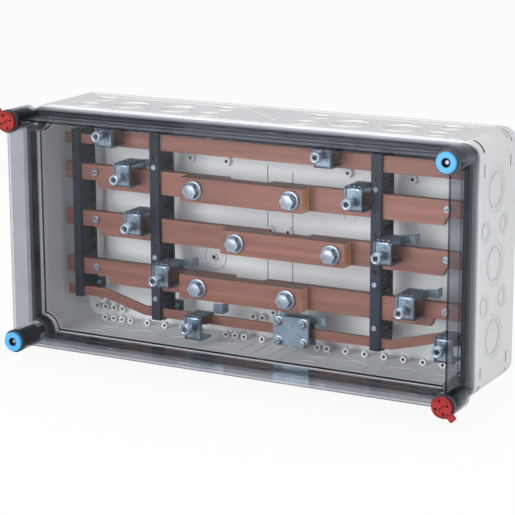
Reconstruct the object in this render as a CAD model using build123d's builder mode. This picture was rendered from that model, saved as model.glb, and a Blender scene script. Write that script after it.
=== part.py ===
from build123d import *
import os

# Busbar distribution box, in millimetres.
# X runs to the right, Z up, and the front faces -Y. The origin is the centre of the back face.
# A depth is counted from the back face towards the front, so depth d lies at Y = -d.

# Enclosure
box_w = 600.0
box_h = 300.0
base_depth = 118.0
corner_r = 18.0
wall = 4.0
lid_depth = 185.0
lid_t = 3.0
lid_inset = 7.5
lid_corner_r = 14.0
skirt_inset = 2.0
step_depth = base_depth + 24.0
joint_gap = 0.3
back_edge_r = 3.0
lid_edge_r = 2.5

# Seal between base and lid
gasket_w = 5.0
gasket_back = base_depth + 7.0
tongue_w = 2.6
lip_w = 2.5
lip_back = base_depth + 10.0

# Quarter-turn lid fasteners in the corner barrels
fastener_x = box_w / 2 - 10.7
fastener_z = box_h / 2 - 11.1
barrel_r = 14.0
barrel_front = lid_depth + 2.0
bolt_r = 11.5
barrel_gap = 0.3
barrel_floor = 3.0
sleeve_out_r = 9.0
pin_r = 5.0
pin_gap = 0.3
pin_reach = 20.0
blind_room = 2.0
lug_r = 11.0
lug_len = 28.0
ring_r = 12.2
ring_t = 4.9
ring_chamfer = 0.8
socket_r = 5.1
socket_deep = 7.0
cap_t = 4.6
cap_plug_r = 4.7
cap_plug_len = 4.0
tab_reach = 20.5
tab_w = 9.0
tab_t = 2.6
cap_hole_r = 1.5
cap_hole_ring = 7.6
cap_hole_turn = 20.0

# Wall fixings and inner bosses
wall_hole_r = 3.5
wall_hole_dx = box_w - 60.0
wall_hole_dz = box_h - 60.0
sleeve_r = 8.0
sleeve_h = 10.0
boss_r = 5.6
boss_h = 6.0
boss_hole_r = 2.1
boss_row_z = 77.4
boss_row_x = (-135.4, -83.5, 85.0, 171.0)
mid_boss_z = -5.0
mid_boss_x = (-22.4, 3.7)

# Knockouts in the walls
membrane = 1.0
side_big_depth = 65.5
side_big_pitch = 87.3
big_r = 25.8
big_inner_r = 19.5
side_small_z = 43.6
side_front_depth = 96.0
side_front_r = 14.0
side_back_depth = 41.0
side_back_r = 12.5
bay_w = box_w / 2
bay_big_x = 33.0
bay_big_depth = 71.0
bay_big_r = 22.0
bay_small_x = 85.0
bay_small_depths = (88.0, 42.0)
bay_small_r = 13.0

# Supports along the box; the bars, links and clamps keep their distance from them
end_x = box_w / 2 - 32.7
inner_x = box_w / 4 + 1.7

# Busbars
bar_front = 67.0
phase_t = 10.0
thin_t = 5.0
phase_h = 30.0
phase_end_h = 20.0
bar_tip = box_w / 2 - 14.0
step_run = 4.0
neutral_z = box_h / 2 - 45.0
neutral_h = 20.0
neutral_end_h = 12.5
neutral_step_x = end_x - 40.3
earth_h = 12.0
earth_mid_z = 36.4 - box_h / 2
earth_end_z = earth_mid_z + 16.0
earth_bend_out = end_x - 36.3
earth_bend_in = inner_x + 20.3
bar_hole_r = 5.5
lamination_t = 9.9
lamination_gap = 0.1
l1_z = 0.18 * box_h
l2_z = -6.5
l3_z = -0.23 * box_h

# Phases: name, centre height, link from and to, bolt places, end of left bar, start of right bar,
# and where the narrow bar ends begin
phases = (
    ("l1", l1_z, 45.7 - inner_x, 62.0, (64.7 - inner_x, 46.0), -50.6, 7.7, end_x - 27.3),
    ("l2", l2_z, -50.0, 118.0, (-29.0, 101.0), 6.2, 61.4, end_x - 27.3),
    ("l3", l3_z, 43.2 - inner_x, 60.0, (69.7 - inner_x, 41.0), -43.9, 0.5, end_x - 41.3),
)

# Flanged link bolts and their nuts
bolt_shank_r = 5.0
flange_r = 12.5
flange_t = 2.5
hex_af = 17.0
hex_h = 8.5
nut_h = 8.0
thread_out = 3.0
thread_gap = 0.05

# Small screws in the narrow bar ends
tap_screw_x = end_x - 26.3
tap_head_r = 4.4
tap_head_t = 3.2
tap_shank_r = 2.5

# Busbar supports: a comb, a keeper strip in front of it, and ears screwed to posts on the back wall
keeper_t = 5.0
comb_back = 34.0
slot_gap = 0.3
support_x = (-end_x, -inner_x, inner_x, end_x)
inner_w = 13.0
outer_w = 10.6
inner_top = neutral_z + 11.5
inner_bottom = earth_mid_z - 8.9
outer_top = neutral_z + 8.0
outer_bottom = earth_end_z - 7.4
pocket_deep = 2.6
pocket_rim = 4.5
ear_w = 12.0
ear_h = 13.0
ear_t = 6.0
post_w = 12.0
ear_screw_r = 2.0
foot_t = 3.5
foot_over = 2.5
keeper_screw_z = (l1_z + 20.3, l3_z + 28.4, l3_z - 25.4)
keeper_hole_z = (87.0, 20.0, -25.0)
keeper_end_hole_z = (88.0, 66.0, 4.0, -15.0, -55.0, -80.0)
keeper_hole_deep = 3.0
small_head_r = 3.2
small_head_t = 2.2
small_shank_r = 1.9
small_shank_len = 14.0

# Conductor clamps
clamp_w = 23.0
sheet_t = 3.0
bend_r = 0.8
clamp_front = 95.0
bar_room = 0.1
hook_len = 13.0
bead_w = 5.0
bead_t = 1.4
boss_collar_r = 6.4
boss_collar_t = 2.0
saddle_t = 4.5
saddle_cut = 5.0
screw_r = 4.0
screw_gap = 0.08
screw_head_r = 6.6
screw_head_h = 8.0
screw_head_back = 106.0
hex_key_af = 6.0
hex_key_deep = 4.5
jaw_t = 3.0
jaw_front = 88.0
jaw_side = 2.5
jaw_room = 0.4
tip_r = 2.0
tip_gap = 0.1
tip_len = 2.0
bracket_len = 13.5
bracket_h = 10.0
bracket_lift = 1.5
bracket_return = 12.0

# Clamps: name, centre X, centre height, height and thickness of the bar there, height of the clamp,
# how far its centre and its screw lie above the centre of the bar, and length and height of its bracket
clamps = (
    ("n_left", -inner_x - 58.3, neutral_z, neutral_h, thin_t, 24.0, 5.0, 9.5, bracket_len, 5.5),
    ("n_right", inner_x - 59.7, neutral_z, neutral_h, thin_t, 24.0, 5.0, 9.5, bracket_len, 5.5),
    ("l1_left", -inner_x - 33.3, l1_z, phase_h, phase_t, 30.0, 11.0, 8.5, bracket_len, bracket_h),
    ("l1_right", inner_x - 18.7, l1_z, phase_h, phase_t, 30.0, 11.0, 8.5, 0.0, 0.0),
    ("l2_left", -inner_x - 18.8, l2_z, phase_h, phase_t, 30.0, 11.0, 8.5, 0.0, 0.0),
    ("l2_right", inner_x + 19.5, l2_z, phase_h, phase_t, 30.0, 11.0, 8.5, bracket_len, bracket_h),
    ("l3_left", -inner_x + 20.7, l3_z, phase_h, phase_t, 30.0, 11.0, 8.5, bracket_len, bracket_h),
    ("l3_right", inner_x + 49.3, l3_z, phase_h, phase_t, 30.0, 11.0, 8.5, bracket_len, bracket_h),
    ("pe_left", -inner_x + 65.7, earth_mid_z, earth_h, thin_t, 31.0, -5.9, -2.9, bracket_len, 12.0),
    ("pe_right", end_x - 17.3, earth_end_z, earth_h, thin_t, 31.0, -5.9, -2.9, 0.0, 0.0),
)

# Four-screw plate clamp on the earth bar
plate_x = 43.5
plate_w = 48.0
plate_h = 37.0
plate_t = 4.0
plate_front = 80.0
plate_corner_r = 3.0
plate_lift = 2.6
plate_screw_dx = 34.0
plate_screw_dz = 25.0
plate_head_r = 4.6
plate_head_h = 5.0
plate_shank_r = 3.0

# Places worked out from the sizes above
step_inside = step_depth - lid_t
gasket_front = step_inside - joint_gap
gasket_inset = skirt_inset + lid_t + joint_gap
gasket_reach = barrel_r + joint_gap
lip_inset = gasket_inset + gasket_w + joint_gap
lip_reach = gasket_reach + gasket_w + joint_gap
tongue_side = (gasket_w - tongue_w) / 2
bolt_back = base_depth + joint_gap
corner_places = {
    "top_left": (-fastener_x, fastener_z),
    "top_right": (fastener_x, fastener_z),
    "bottom_left": (-fastener_x, -fastener_z),
    "bottom_right": (fastener_x, -fastener_z),
}
phase_back = bar_front - phase_t
thin_back = bar_front - thin_t
link_front = bar_front + 2 * lamination_t + 2 * lamination_gap
plate_z = earth_mid_z + plate_lift
bolt_seat = step_depth + barrel_floor + joint_gap

front = Plane.XZ


def face_at(depth):
    """Plane that faces the front at a depth from the back."""
    return front.offset(depth)


def wall_plane(name):
    """Plane on the outside of a wall; its local axes give (along, up or depth)."""
    if name == "left":
        return Plane(origin=(-box_w / 2, 0, 0), x_dir=(0, -1, 0), z_dir=(-1, 0, 0))
    if name == "right":
        return Plane(origin=(box_w / 2, 0, 0), x_dir=(0, 1, 0), z_dir=(1, 0, 0))
    if name == "top":
        return Plane(origin=(0, 0, box_h / 2), x_dir=(1, 0, 0), z_dir=(0, 0, 1))
    return Plane(origin=(0, 0, -box_h / 2), x_dir=(1, 0, 0), z_dir=(0, 0, -1))


def disc(depth, x, z, radius, length, mode=Mode.ADD):
    """Round pad, pin or hole that starts at a depth and runs towards the front."""
    with BuildSketch(face_at(depth)) as shape:
        with Locations((x, z)):
            Circle(radius)
    extrude(shape.sketch, amount=length, mode=mode)


def block(depth, x0, x1, z0, z1, length, mode=Mode.ADD):
    """Straight block from a depth towards the front, between two X and two Z values."""
    with BuildSketch(face_at(depth)) as shape:
        with Locations(((x0 + x1) / 2, (z0 + z1) / 2)):
            Rectangle(x1 - x0, z1 - z0)
    extrude(shape.sketch, amount=length, mode=mode)


def hexagon(depth, x, z, across_flats, length, mode=Mode.ADD):
    """Six-sided prism or socket that starts at a depth and runs towards the front."""
    with BuildSketch(face_at(depth)) as shape:
        with Locations((x, z)):
            RegularPolygon(across_flats / 2, 6, major_radius=False)
    extrude(shape.sketch, amount=length, mode=mode)


def outline(inset, radius, mode=Mode.ADD):
    """Rounded outline of the box, drawn in by an inset."""
    RectangleRounded(box_w - 2 * inset, box_h - 2 * inset, radius, mode=mode)


def corner_tubes(depth, radius, length, inset):
    """Round tubes at the four fasteners, cut back where they would pass the rounded outline."""
    with BuildSketch(face_at(depth)) as tubes:
        with Locations(*corner_places.values()):
            Circle(radius)
        outline(inset, corner_r - inset, Mode.INTERSECT)
    extrude(tubes.sketch, amount=length)


def seal_path(inset, reach):
    """Outline that passes the four corner barrels on their inner side."""
    outline(inset, lid_corner_r)
    with Locations(*corner_places.values()):
        Circle(reach, mode=Mode.SUBTRACT)


def ring_between(depth, length, inset, reach, width):
    """Ring that follows the seal's path, between an inset and that inset plus a width."""
    with BuildSketch(face_at(depth)) as outer:
        seal_path(inset, reach)
    extrude(outer.sketch, amount=length)
    with BuildSketch(face_at(depth)) as inner:
        seal_path(inset + width, reach + width)
    extrude(inner.sketch, amount=length, mode=Mode.SUBTRACT)


def save(part, name):
    part.label = name
    export_step(part, f"parts/{name}.step")


# Base: deep tray with a rim, sealing tongue, corner lugs, bosses and knockouts
def knockout(plane, places, radius, inner_radius=None):
    """Thin round membrane in a wall, with a second smaller one inside it."""
    with BuildSketch(plane) as shape:
        with Locations(*places):
            Circle(radius)
    extrude(shape.sketch, amount=-membrane, mode=Mode.SUBTRACT)
    if inner_radius:
        with BuildSketch(plane) as inner_shape:
            with Locations(*places):
                Circle(inner_radius)
        extrude(inner_shape.sketch, amount=-2 * membrane, mode=Mode.SUBTRACT)


def support_size(x):
    """Half width, top and bottom of the support at a place along the box."""
    if abs(x) > earth_bend_out:
        return outer_w / 2, outer_top, outer_bottom
    return inner_w / 2, inner_top, inner_bottom


def ear_places(x):
    """Centres of the two screwed ears of a support, on its side towards the middle."""
    half, top, bottom = support_size(x)
    towards_middle = -1 if x > 0 else 1
    ear_x = x + towards_middle * (half + ear_w / 2)
    return [(ear_x, top - ear_h), (ear_x, bottom + ear_h)]


wall_holes = [(sx * wall_hole_dx / 2, sz * wall_hole_dz / 2) for sx in (-1, 1) for sz in (-1, 1)]
inner_bosses = [(x, boss_row_z) for x in boss_row_x] + [(x, mid_boss_z) for x in mid_boss_x]
tongue_inset = gasket_inset + tongue_side
tongue_reach = gasket_reach + tongue_side

with BuildPart() as base_box:
    with BuildSketch(face_at(0)):
        outline(0, corner_r)
    extrude(amount=base_depth)
    fillet(base_box.edges().group_by(Axis.Y)[-1], back_edge_r)
    with BuildSketch(face_at(wall)):
        outline(wall, corner_r - wall)
    extrude(amount=base_depth, mode=Mode.SUBTRACT)
    # rim ledge, and the tongue that presses into the seal
    with BuildSketch(face_at(base_depth - wall)):
        outline(0, corner_r)
    extrude(amount=wall)
    with BuildSketch(face_at(base_depth - wall)):
        seal_path(lip_inset + lip_w, lip_reach + lip_w)
    extrude(amount=wall, mode=Mode.SUBTRACT)
    ring_between(base_depth, gasket_back - joint_gap - base_depth, tongue_inset, tongue_reach, tongue_w)
    # corner lugs that take the pins of the lid fasteners
    corner_tubes(base_depth - lug_len, lug_r, lug_len, 0)
    pin_hole = pin_reach + blind_room
    for lug_x, lug_z in corner_places.values():
        disc(base_depth - pin_hole, lug_x, lug_z, pin_r + pin_gap, pin_hole, Mode.SUBTRACT)
    # sleeves round the wall fixings, and the bosses of the back wall
    for hole_x, hole_z in wall_holes:
        disc(wall, hole_x, hole_z, sleeve_r, sleeve_h)
        disc(0, hole_x, hole_z, wall_hole_r, wall + sleeve_h, Mode.SUBTRACT)
    for boss_x, boss_z in inner_bosses:
        disc(wall, boss_x, boss_z, boss_r, boss_h)
        disc(wall, boss_x, boss_z, boss_hole_r, boss_h, Mode.SUBTRACT)
    # knockouts of the side walls and of the top and bottom walls
    for name, turn in (("left", 1), ("right", -1)):
        plane = wall_plane(name)
        big_row = [(turn * side_big_depth, k * side_big_pitch) for k in (-1, 0, 1)]
        knockout(plane, big_row, big_r, big_inner_r)
        knockout(plane, [(turn * side_front_depth, s * side_small_z) for s in (-1, 1)], side_front_r)
        knockout(plane, [(turn * side_back_depth, s * side_small_z) for s in (-1, 1)], side_back_r)
    for name, turn in (("top", -1), ("bottom", 1)):
        plane = wall_plane(name)
        bays = [-bay_w / 2, bay_w / 2]
        big_row = [(bay + s * bay_big_x, turn * bay_big_depth) for bay in bays for s in (-1, 1)]
        small = [(bay + s * bay_small_x, turn * d) for bay in bays for s in (-1, 1) for d in bay_small_depths]
        knockout(plane, big_row, bay_big_r)
        knockout(plane, small, bay_small_r)
save_list = [("base_box", base_box)]

# Posts on the back wall that carry the busbar supports
with BuildPart() as base_posts:
    for x in support_x:
        for post_x, post_z in ear_places(x):
            block(wall, post_x - post_w / 2, post_x + post_w / 2, post_z - ear_h / 2, post_z + ear_h / 2,
                  comb_back - wall)
            disc(comb_back - small_shank_len, post_x, post_z, ear_screw_r, small_shank_len, Mode.SUBTRACT)
save_list.append(("base_posts", base_posts))


# Lid: clear tray with a stepped skirt, a channel for the seal and four corner barrels
with BuildPart() as lid:
    with BuildSketch(face_at(bolt_back)):
        outline(skirt_inset, corner_r - skirt_inset)
    extrude(amount=step_depth - bolt_back)
    with BuildSketch(face_at(step_inside)):
        outline(lid_inset, lid_corner_r)
    extrude(amount=lid_depth - step_inside)
    fillet(lid.edges().group_by(Axis.Y)[0], lid_edge_r)
    with BuildSketch(face_at(bolt_back)):
        outline(skirt_inset + lid_t, corner_r - skirt_inset - lid_t)
    extrude(amount=step_inside - bolt_back, mode=Mode.SUBTRACT)
    with BuildSketch(face_at(step_inside)):
        outline(lid_inset + lid_t, lid_corner_r - lid_t)
    extrude(amount=lid_depth - lid_t - step_inside, mode=Mode.SUBTRACT)
    with BuildSketch(face_at(step_inside)):
        outline(skirt_inset + lid_t, corner_r - skirt_inset - lid_t)
    extrude(amount=lid_t)
    with BuildSketch(face_at(step_inside)):
        seal_path(lip_inset + lip_w, lip_reach + lip_w)
    extrude(amount=lid_t, mode=Mode.SUBTRACT)
    ring_between(lip_back, step_inside - lip_back, lip_inset, lip_reach, lip_w)
    corner_tubes(bolt_back, sleeve_out_r, step_depth - bolt_back, skirt_inset)
    bore_back = bolt_seat - joint_gap
    for barrel_x, barrel_z in corner_places.values():
        disc(step_depth, barrel_x, barrel_z, barrel_r, barrel_front - step_depth)
        disc(bore_back, barrel_x, barrel_z, bolt_r + barrel_gap, barrel_front - bore_back, Mode.SUBTRACT)
        disc(bolt_back, barrel_x, barrel_z, pin_r + pin_gap, bore_back - bolt_back, Mode.SUBTRACT)
save_list.append(("lid", lid))

with BuildPart() as lid_gasket:
    ring_between(gasket_back, gasket_front - gasket_back, gasket_inset, gasket_reach, gasket_w)
save_list.append(("lid_gasket", lid_gasket))


# Lid fasteners: a barrel bolt with a pin, and either a marked ring or a sealing cap on its head
for place, (x, z) in corner_places.items():
    with BuildPart() as lid_bolt:
        disc(bolt_seat, x, z, bolt_r, barrel_front - bolt_seat)
        disc(base_depth - pin_reach, x, z, pin_r, bolt_seat - base_depth + pin_reach)
        disc(barrel_front - socket_deep, x, z, socket_r, socket_deep, Mode.SUBTRACT)
    save_list.append((f"lid_bolt_{place}", lid_bolt))

for place in ("top_right", "bottom_left"):
    x, z = corner_places[place]
    with BuildPart() as bolt_ring:
        disc(barrel_front + joint_gap, x, z, ring_r, ring_t)
        disc(barrel_front + joint_gap, x, z, socket_r, ring_t, Mode.SUBTRACT)
        rim = bolt_ring.edges().filter_by(GeomType.CIRCLE).group_by(Axis.Y)[0]
        chamfer(rim, ring_chamfer)
    save_list.append((f"bolt_ring_{place}", bolt_ring))

for place in ("top_left", "bottom_right"):
    x, z = corner_places[place]
    side = 1 if x > 0 else -1
    tab_plane = Plane(origin=(x, -(barrel_front + joint_gap), z), x_dir=(side, 0, -side), z_dir=(0, -1, 0))
    with BuildPart() as seal_cap:
        disc(barrel_front + joint_gap, x, z, ring_r, cap_t)
        with BuildSketch(tab_plane):
            with Locations((tab_reach / 2, 0)):
                RectangleRounded(tab_reach, tab_w, tab_w / 4)
        extrude(amount=tab_t)
        disc(barrel_front - cap_plug_len, x, z, cap_plug_r, cap_plug_len + joint_gap)
        with BuildSketch(face_at(barrel_front + joint_gap)):
            with Locations((x, z)):
                with PolarLocations(cap_hole_ring, 4, start_angle=cap_hole_turn):
                    Circle(cap_hole_r)
        extrude(amount=cap_t, mode=Mode.SUBTRACT)
    save_list.append((f"seal_cap_{place}", seal_cap))


# Busbar supports: a comb with a slot for each bar, and the keeper strip in front of it
def bar_slots(x):
    """Centre height, height and thickness of each bar where a support holds it."""
    slots = [(row[1], phase_h, phase_t) for row in phases]
    if abs(x) > earth_bend_out:
        slots = [(z + (phase_h - phase_end_h) / 2, phase_end_h, t) for z, h, t in slots]
        slots.append((neutral_z - (neutral_h - neutral_end_h) / 2, neutral_end_h, thin_t))
        slots.append((earth_end_z, earth_h, thin_t))
    else:
        slots.append((neutral_z, neutral_h, thin_t))
        slots.append((earth_mid_z, earth_h, thin_t))
    return sorted(slots)


support_names = ("far_left", "left", "right", "far_right")
for name, x in zip(support_names, support_x):
    half, top, bottom = support_size(x)
    slots = bar_slots(x)
    with BuildPart() as comb:
        block(comb_back, x - half, x + half, bottom, top, bar_front - comb_back)
        if half * 2 == inner_w:
            block(comb_back, x - half - foot_over, x + half + foot_over, bottom, bottom + foot_t,
                  bar_front - comb_back)
        for slot_z, slot_h, slot_t in slots:
            half_slot = slot_h / 2 + slot_gap
            wide = half + foot_over
            block(bar_front - slot_t, x - wide, x + wide, slot_z - half_slot, slot_z + half_slot, slot_t,
                  Mode.SUBTRACT)
        for below, above in zip(slots, slots[1:]):
            low = below[0] + below[1] / 2 + pocket_rim
            high = above[0] - above[1] / 2 - pocket_rim
            for side in (-1, 1):
                edge = x + side * half
                inner = edge - side * pocket_deep
                block(comb_back + pocket_rim, min(edge, inner), max(edge, inner), low, high,
                      bar_front - comb_back - 2 * pocket_rim, Mode.SUBTRACT)
        for ear_x, ear_z in ear_places(x):
            block(comb_back, ear_x - ear_w / 2, ear_x + ear_w / 2, ear_z - ear_h / 2, ear_z + ear_h / 2, ear_t)
            disc(comb_back, ear_x, ear_z, ear_screw_r, ear_t, Mode.SUBTRACT)
        if half * 2 == inner_w:
            for screw_z in keeper_screw_z:
                disc(bar_front - small_shank_len, x, screw_z, small_shank_r + thread_gap, small_shank_len,
                     Mode.SUBTRACT)
    save_list.append((f"support_{name}", comb))
    with BuildPart() as keeper:
        block(bar_front, x - half, x + half, bottom, top, keeper_t)
        if half * 2 == inner_w:
            for screw_z in keeper_screw_z:
                disc(bar_front, x, screw_z, small_shank_r + thread_gap, keeper_t, Mode.SUBTRACT)
        for hole_z in keeper_hole_z if half * 2 == inner_w else keeper_end_hole_z:
            disc(bar_front + keeper_t - keeper_hole_deep, x, hole_z, small_shank_r, keeper_hole_deep,
                 Mode.SUBTRACT)
    save_list.append((f"keeper_{name}", keeper))

with BuildPart() as support_screws:
    for x in support_x:
        for ear_x, ear_z in ear_places(x):
            disc(comb_back + ear_t, ear_x, ear_z, small_head_r, small_head_t)
            disc(comb_back + ear_t - small_shank_len, ear_x, ear_z, small_shank_r, small_shank_len)
        if support_size(x)[0] * 2 == inner_w:
            for screw_z in keeper_screw_z:
                disc(bar_front + keeper_t, x, screw_z, small_head_r, small_head_t)
                shank_back = bar_front - small_shank_len + blind_room
                disc(shank_back, x, screw_z, small_shank_r, bar_front + keeper_t - shank_back)
save_list.append(("support_screws", support_screws))


# Phase bars: one from each end, narrow where the end support holds it
def phase_bar(side, inner_x, step_x, z, hole_x):
    """Flat bar from its tip to its inner end, with the hole of the link bolt and of the small screw."""
    top = z + phase_h / 2
    bottom = z - phase_h / 2
    narrow = top - phase_end_h
    with BuildPart() as bar:
        with BuildSketch(face_at(phase_back)):
            with BuildLine():
                Polyline(
                    (side * bar_tip, top), (inner_x, top), (inner_x, bottom),
                    (side * (step_x - step_run), bottom), (side * step_x, narrow), (side * bar_tip, narrow),
                    close=True,
                )
            make_face()
        extrude(amount=phase_t)
        disc(phase_back, hole_x, z, bar_hole_r, phase_t, Mode.SUBTRACT)
        disc(phase_back, side * tap_screw_x, top - phase_end_h / 2, tap_shank_r + thread_gap, phase_t,
             Mode.SUBTRACT)
    return bar


for name, z, link_from, link_to, bolts, left_end, right_start, step_x in phases:
    save_list.append((f"{name}_bar_left", phase_bar(-1, left_end, step_x, z, bolts[0])))
    save_list.append((f"{name}_bar_right", phase_bar(1, right_start, step_x, z, bolts[1])))
    with BuildPart() as link:
        for layer in range(2):
            layer_back = bar_front + lamination_gap + layer * (lamination_t + lamination_gap)
            block(layer_back, link_from, link_to, z - phase_h / 2, z + phase_h / 2, lamination_t)
            for bolt_x in bolts:
                disc(layer_back, bolt_x, z, bar_hole_r, lamination_t, Mode.SUBTRACT)
    save_list.append((f"{name}_link_bars", link))

with BuildPart() as link_bolts:
    for row in phases:
        for bolt_x in row[4]:
            disc(link_front, bolt_x, row[1], flange_r, flange_t)
            hexagon(link_front + flange_t, bolt_x, row[1], hex_af, hex_h)
            shank_back = phase_back - nut_h - thread_out
            disc(shank_back, bolt_x, row[1], bolt_shank_r, link_front - shank_back)
save_list.append(("link_bolts", link_bolts))

with BuildPart() as link_nuts:
    for row in phases:
        for bolt_x in row[4]:
            hexagon(phase_back - nut_h, bolt_x, row[1], hex_af, nut_h)
            disc(phase_back - nut_h, bolt_x, row[1], bolt_shank_r + thread_gap, nut_h, Mode.SUBTRACT)
save_list.append(("link_nuts", link_nuts))

with BuildPart() as tap_screws:
    for row in phases:
        tap_z = row[1] + (phase_h - phase_end_h) / 2
        for side in (-1, 1):
            disc(bar_front, side * tap_screw_x, tap_z, tap_head_r, tap_head_t)
            disc(phase_back, side * tap_screw_x, tap_z, tap_shank_r, phase_t)
save_list.append(("tap_screws", tap_screws))


# Neutral and earth bars
with BuildPart() as n_bar:
    low = neutral_z - neutral_h / 2
    high = neutral_z + neutral_h / 2
    end_high = low + neutral_end_h
    with BuildSketch(face_at(thin_back)):
        with BuildLine():
            Polyline(
                (-bar_tip, low), (bar_tip, low), (bar_tip, end_high), (neutral_step_x, end_high),
                (neutral_step_x - step_run, high), (step_run - neutral_step_x, high),
                (-neutral_step_x, end_high), (-bar_tip, end_high),
                close=True,
            )
        make_face()
    extrude(amount=thin_t)
save_list.append(("n_bar", n_bar))

with BuildPart() as pe_bar:
    line = [(-bar_tip, earth_end_z), (-earth_bend_out, earth_end_z), (-earth_bend_in, earth_mid_z),
            (earth_bend_in, earth_mid_z), (earth_bend_out, earth_end_z), (bar_tip, earth_end_z)]
    upper = [(x, z + earth_h / 2) for x, z in line]
    lower = [(x, z - earth_h / 2) for x, z in reversed(line)]
    with BuildSketch(face_at(thin_back)):
        with BuildLine():
            Polyline(*upper, *lower, close=True)
        make_face()
    extrude(amount=thin_t)
save_list.append(("pe_bar", pe_bar))


# Conductor clamps: hooked frame, copper saddle on the bar, jaw and screw
def bent_sheet(left, hook_back, bottom, top, hook_end):
    """Side profile of a clamp frame, bent round from one sheet and open at the back below its hook."""
    middle = (-(clamp_front + hook_back) / 2, (bottom + top) / 2)
    bar_side = bar_front + bar_room
    with BuildSketch(Plane.YZ.offset(left)) as side:
        with Locations(middle):
            RectangleRounded(clamp_front - hook_back, top - bottom, bend_r + sheet_t)
            RectangleRounded(clamp_front - hook_back - 2 * sheet_t, top - bottom - 2 * sheet_t, bend_r,
                             mode=Mode.SUBTRACT)
        with Locations((-(hook_back + bar_side) / 2, (bottom + hook_end) / 2)):
            Rectangle(bar_side - hook_back, hook_end - bottom, mode=Mode.SUBTRACT)
    extrude(side.sketch, amount=clamp_w)


def pressed_bead(x, bottom, top):
    """Stiffening bead that stands out from the front of a clamp, between its two bends."""
    with BuildSketch(face_at(clamp_front)) as bead:
        with Locations((x, (bottom + top) / 2)):
            SlotOverall(top - bottom - 2 * (bend_r + sheet_t), bead_w, rotation=90)
    extrude(bead.sketch, amount=bead_t)


with BuildPart() as clamp_frames:
    for name, x, bar_z, bar_h, bar_t, height, lift, screw_lift, reach, rise in clamps:
        left = x - clamp_w / 2
        right = x + clamp_w / 2
        top = bar_z + lift + height / 2
        bottom = bar_z + lift - height / 2
        bar_top = bar_z + bar_h / 2
        hook_back = bar_front - bar_t - bar_room - sheet_t
        bent_sheet(left, hook_back, bottom, top, bar_top - hook_len)
        pressed_bead(right - bead_w / 2, bottom, top)
        if reach:
            foot = bar_top + bracket_lift
            block(hook_back, right, right + reach, foot, foot + rise, sheet_t)
            block(hook_back - bracket_return, right + reach - sheet_t, right + reach, foot, foot + rise,
                  bracket_return)
        screw_z = bar_z + screw_lift
        disc(clamp_front, x, screw_z, boss_collar_r, boss_collar_t)
        disc(clamp_front - sheet_t, x, screw_z, screw_r + screw_gap, sheet_t + boss_collar_t, Mode.SUBTRACT)
save_list.append(("clamp_frames", clamp_frames))

with BuildPart() as clamp_saddles:
    for name, x, bar_z, bar_h, bar_t, height, lift, screw_lift, reach, rise in clamps:
        high = bar_z + bar_h / 2
        low = max(bar_z + lift - height / 2 + sheet_t + jaw_room, bar_z - bar_h / 2)
        right = x + clamp_w / 2
        left = x - clamp_w / 2
        cut = min(saddle_cut, (high - low) / 2)
        with BuildSketch(face_at(bar_front)):
            with BuildLine():
                Polyline((left, low), (right - cut, low), (right, low + cut), (right, high), (left, high),
                         close=True)
            make_face()
        extrude(amount=saddle_t)
save_list.append(("clamp_saddles", clamp_saddles))

for name, x, bar_z, bar_h, bar_t, height, lift, screw_lift, reach, rise in clamps:
    screw_z = bar_z + screw_lift
    inner_low = bar_z + lift - height / 2 + sheet_t + jaw_room
    inner_high = bar_z + lift + height / 2 - sheet_t - jaw_room
    with BuildPart() as jaw:
        block(jaw_front - jaw_t, x - clamp_w / 2 + jaw_side, x + clamp_w / 2 - jaw_side, inner_low, inner_high,
              jaw_t)
        disc(jaw_front - tip_len, x, screw_z, tip_r + tip_gap, tip_len, Mode.SUBTRACT)
    save_list.append((f"clamp_jaw_{name}", jaw))
    with BuildPart() as screw:
        disc(jaw_front - tip_len + tip_gap, x, screw_z, tip_r, tip_len)
        disc(jaw_front, x, screw_z, screw_r, screw_head_back - jaw_front)
        disc(screw_head_back, x, screw_z, screw_head_r, screw_head_h)
        hexagon(screw_head_back + screw_head_h - hex_key_deep, x, screw_z, hex_key_af, hex_key_deep,
                Mode.SUBTRACT)
    save_list.append((f"clamp_screw_{name}", screw))


# Plate clamp with four screws on the earth bar
plate_places = [(plate_x + sx * plate_screw_dx / 2, plate_z + sz * plate_screw_dz / 2)
                for sx in (-1, 1) for sz in (-1, 1)]
plate_left = plate_x - plate_w / 2
plate_right = plate_x + plate_w / 2
plate_low = plate_z - plate_h / 2
plate_high = plate_z + plate_h / 2

with BuildPart() as pe_clamp_base:
    block(thin_back - plate_t, plate_left, plate_right + bracket_len, plate_low, plate_high, plate_t)
    block(thin_back - plate_t, plate_right, plate_right + bracket_len, plate_low, plate_high - bracket_h,
          plate_t, Mode.SUBTRACT)
    for place_x, place_z in plate_places:
        disc(thin_back - plate_t, place_x, place_z, plate_shank_r + thread_gap, plate_t, Mode.SUBTRACT)
save_list.append(("pe_clamp_base", pe_clamp_base))

with BuildPart() as pe_clamp_plate:
    with BuildSketch(face_at(plate_front - plate_t)):
        with Locations((plate_x, plate_z)):
            RectangleRounded(plate_w, plate_h, plate_corner_r)
    extrude(amount=plate_t)
    for place_x, place_z in plate_places:
        disc(plate_front - plate_t, place_x, place_z, plate_shank_r + joint_gap, plate_t, Mode.SUBTRACT)
save_list.append(("pe_clamp_plate", pe_clamp_plate))

with BuildPart() as pe_clamp_screws:
    for place_x, place_z in plate_places:
        shank_back = thin_back - plate_t - thread_out
        disc(shank_back, place_x, place_z, plate_shank_r, plate_front - shank_back)
        disc(plate_front, place_x, place_z, plate_head_r, plate_head_h)
save_list.append(("pe_clamp_screws", pe_clamp_screws))


os.makedirs("parts", exist_ok=True)
for name, made in save_list:
    save(made.part, name)
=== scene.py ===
import math
import bmesh
import bpy
from mathutils import Matrix, Vector


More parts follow.
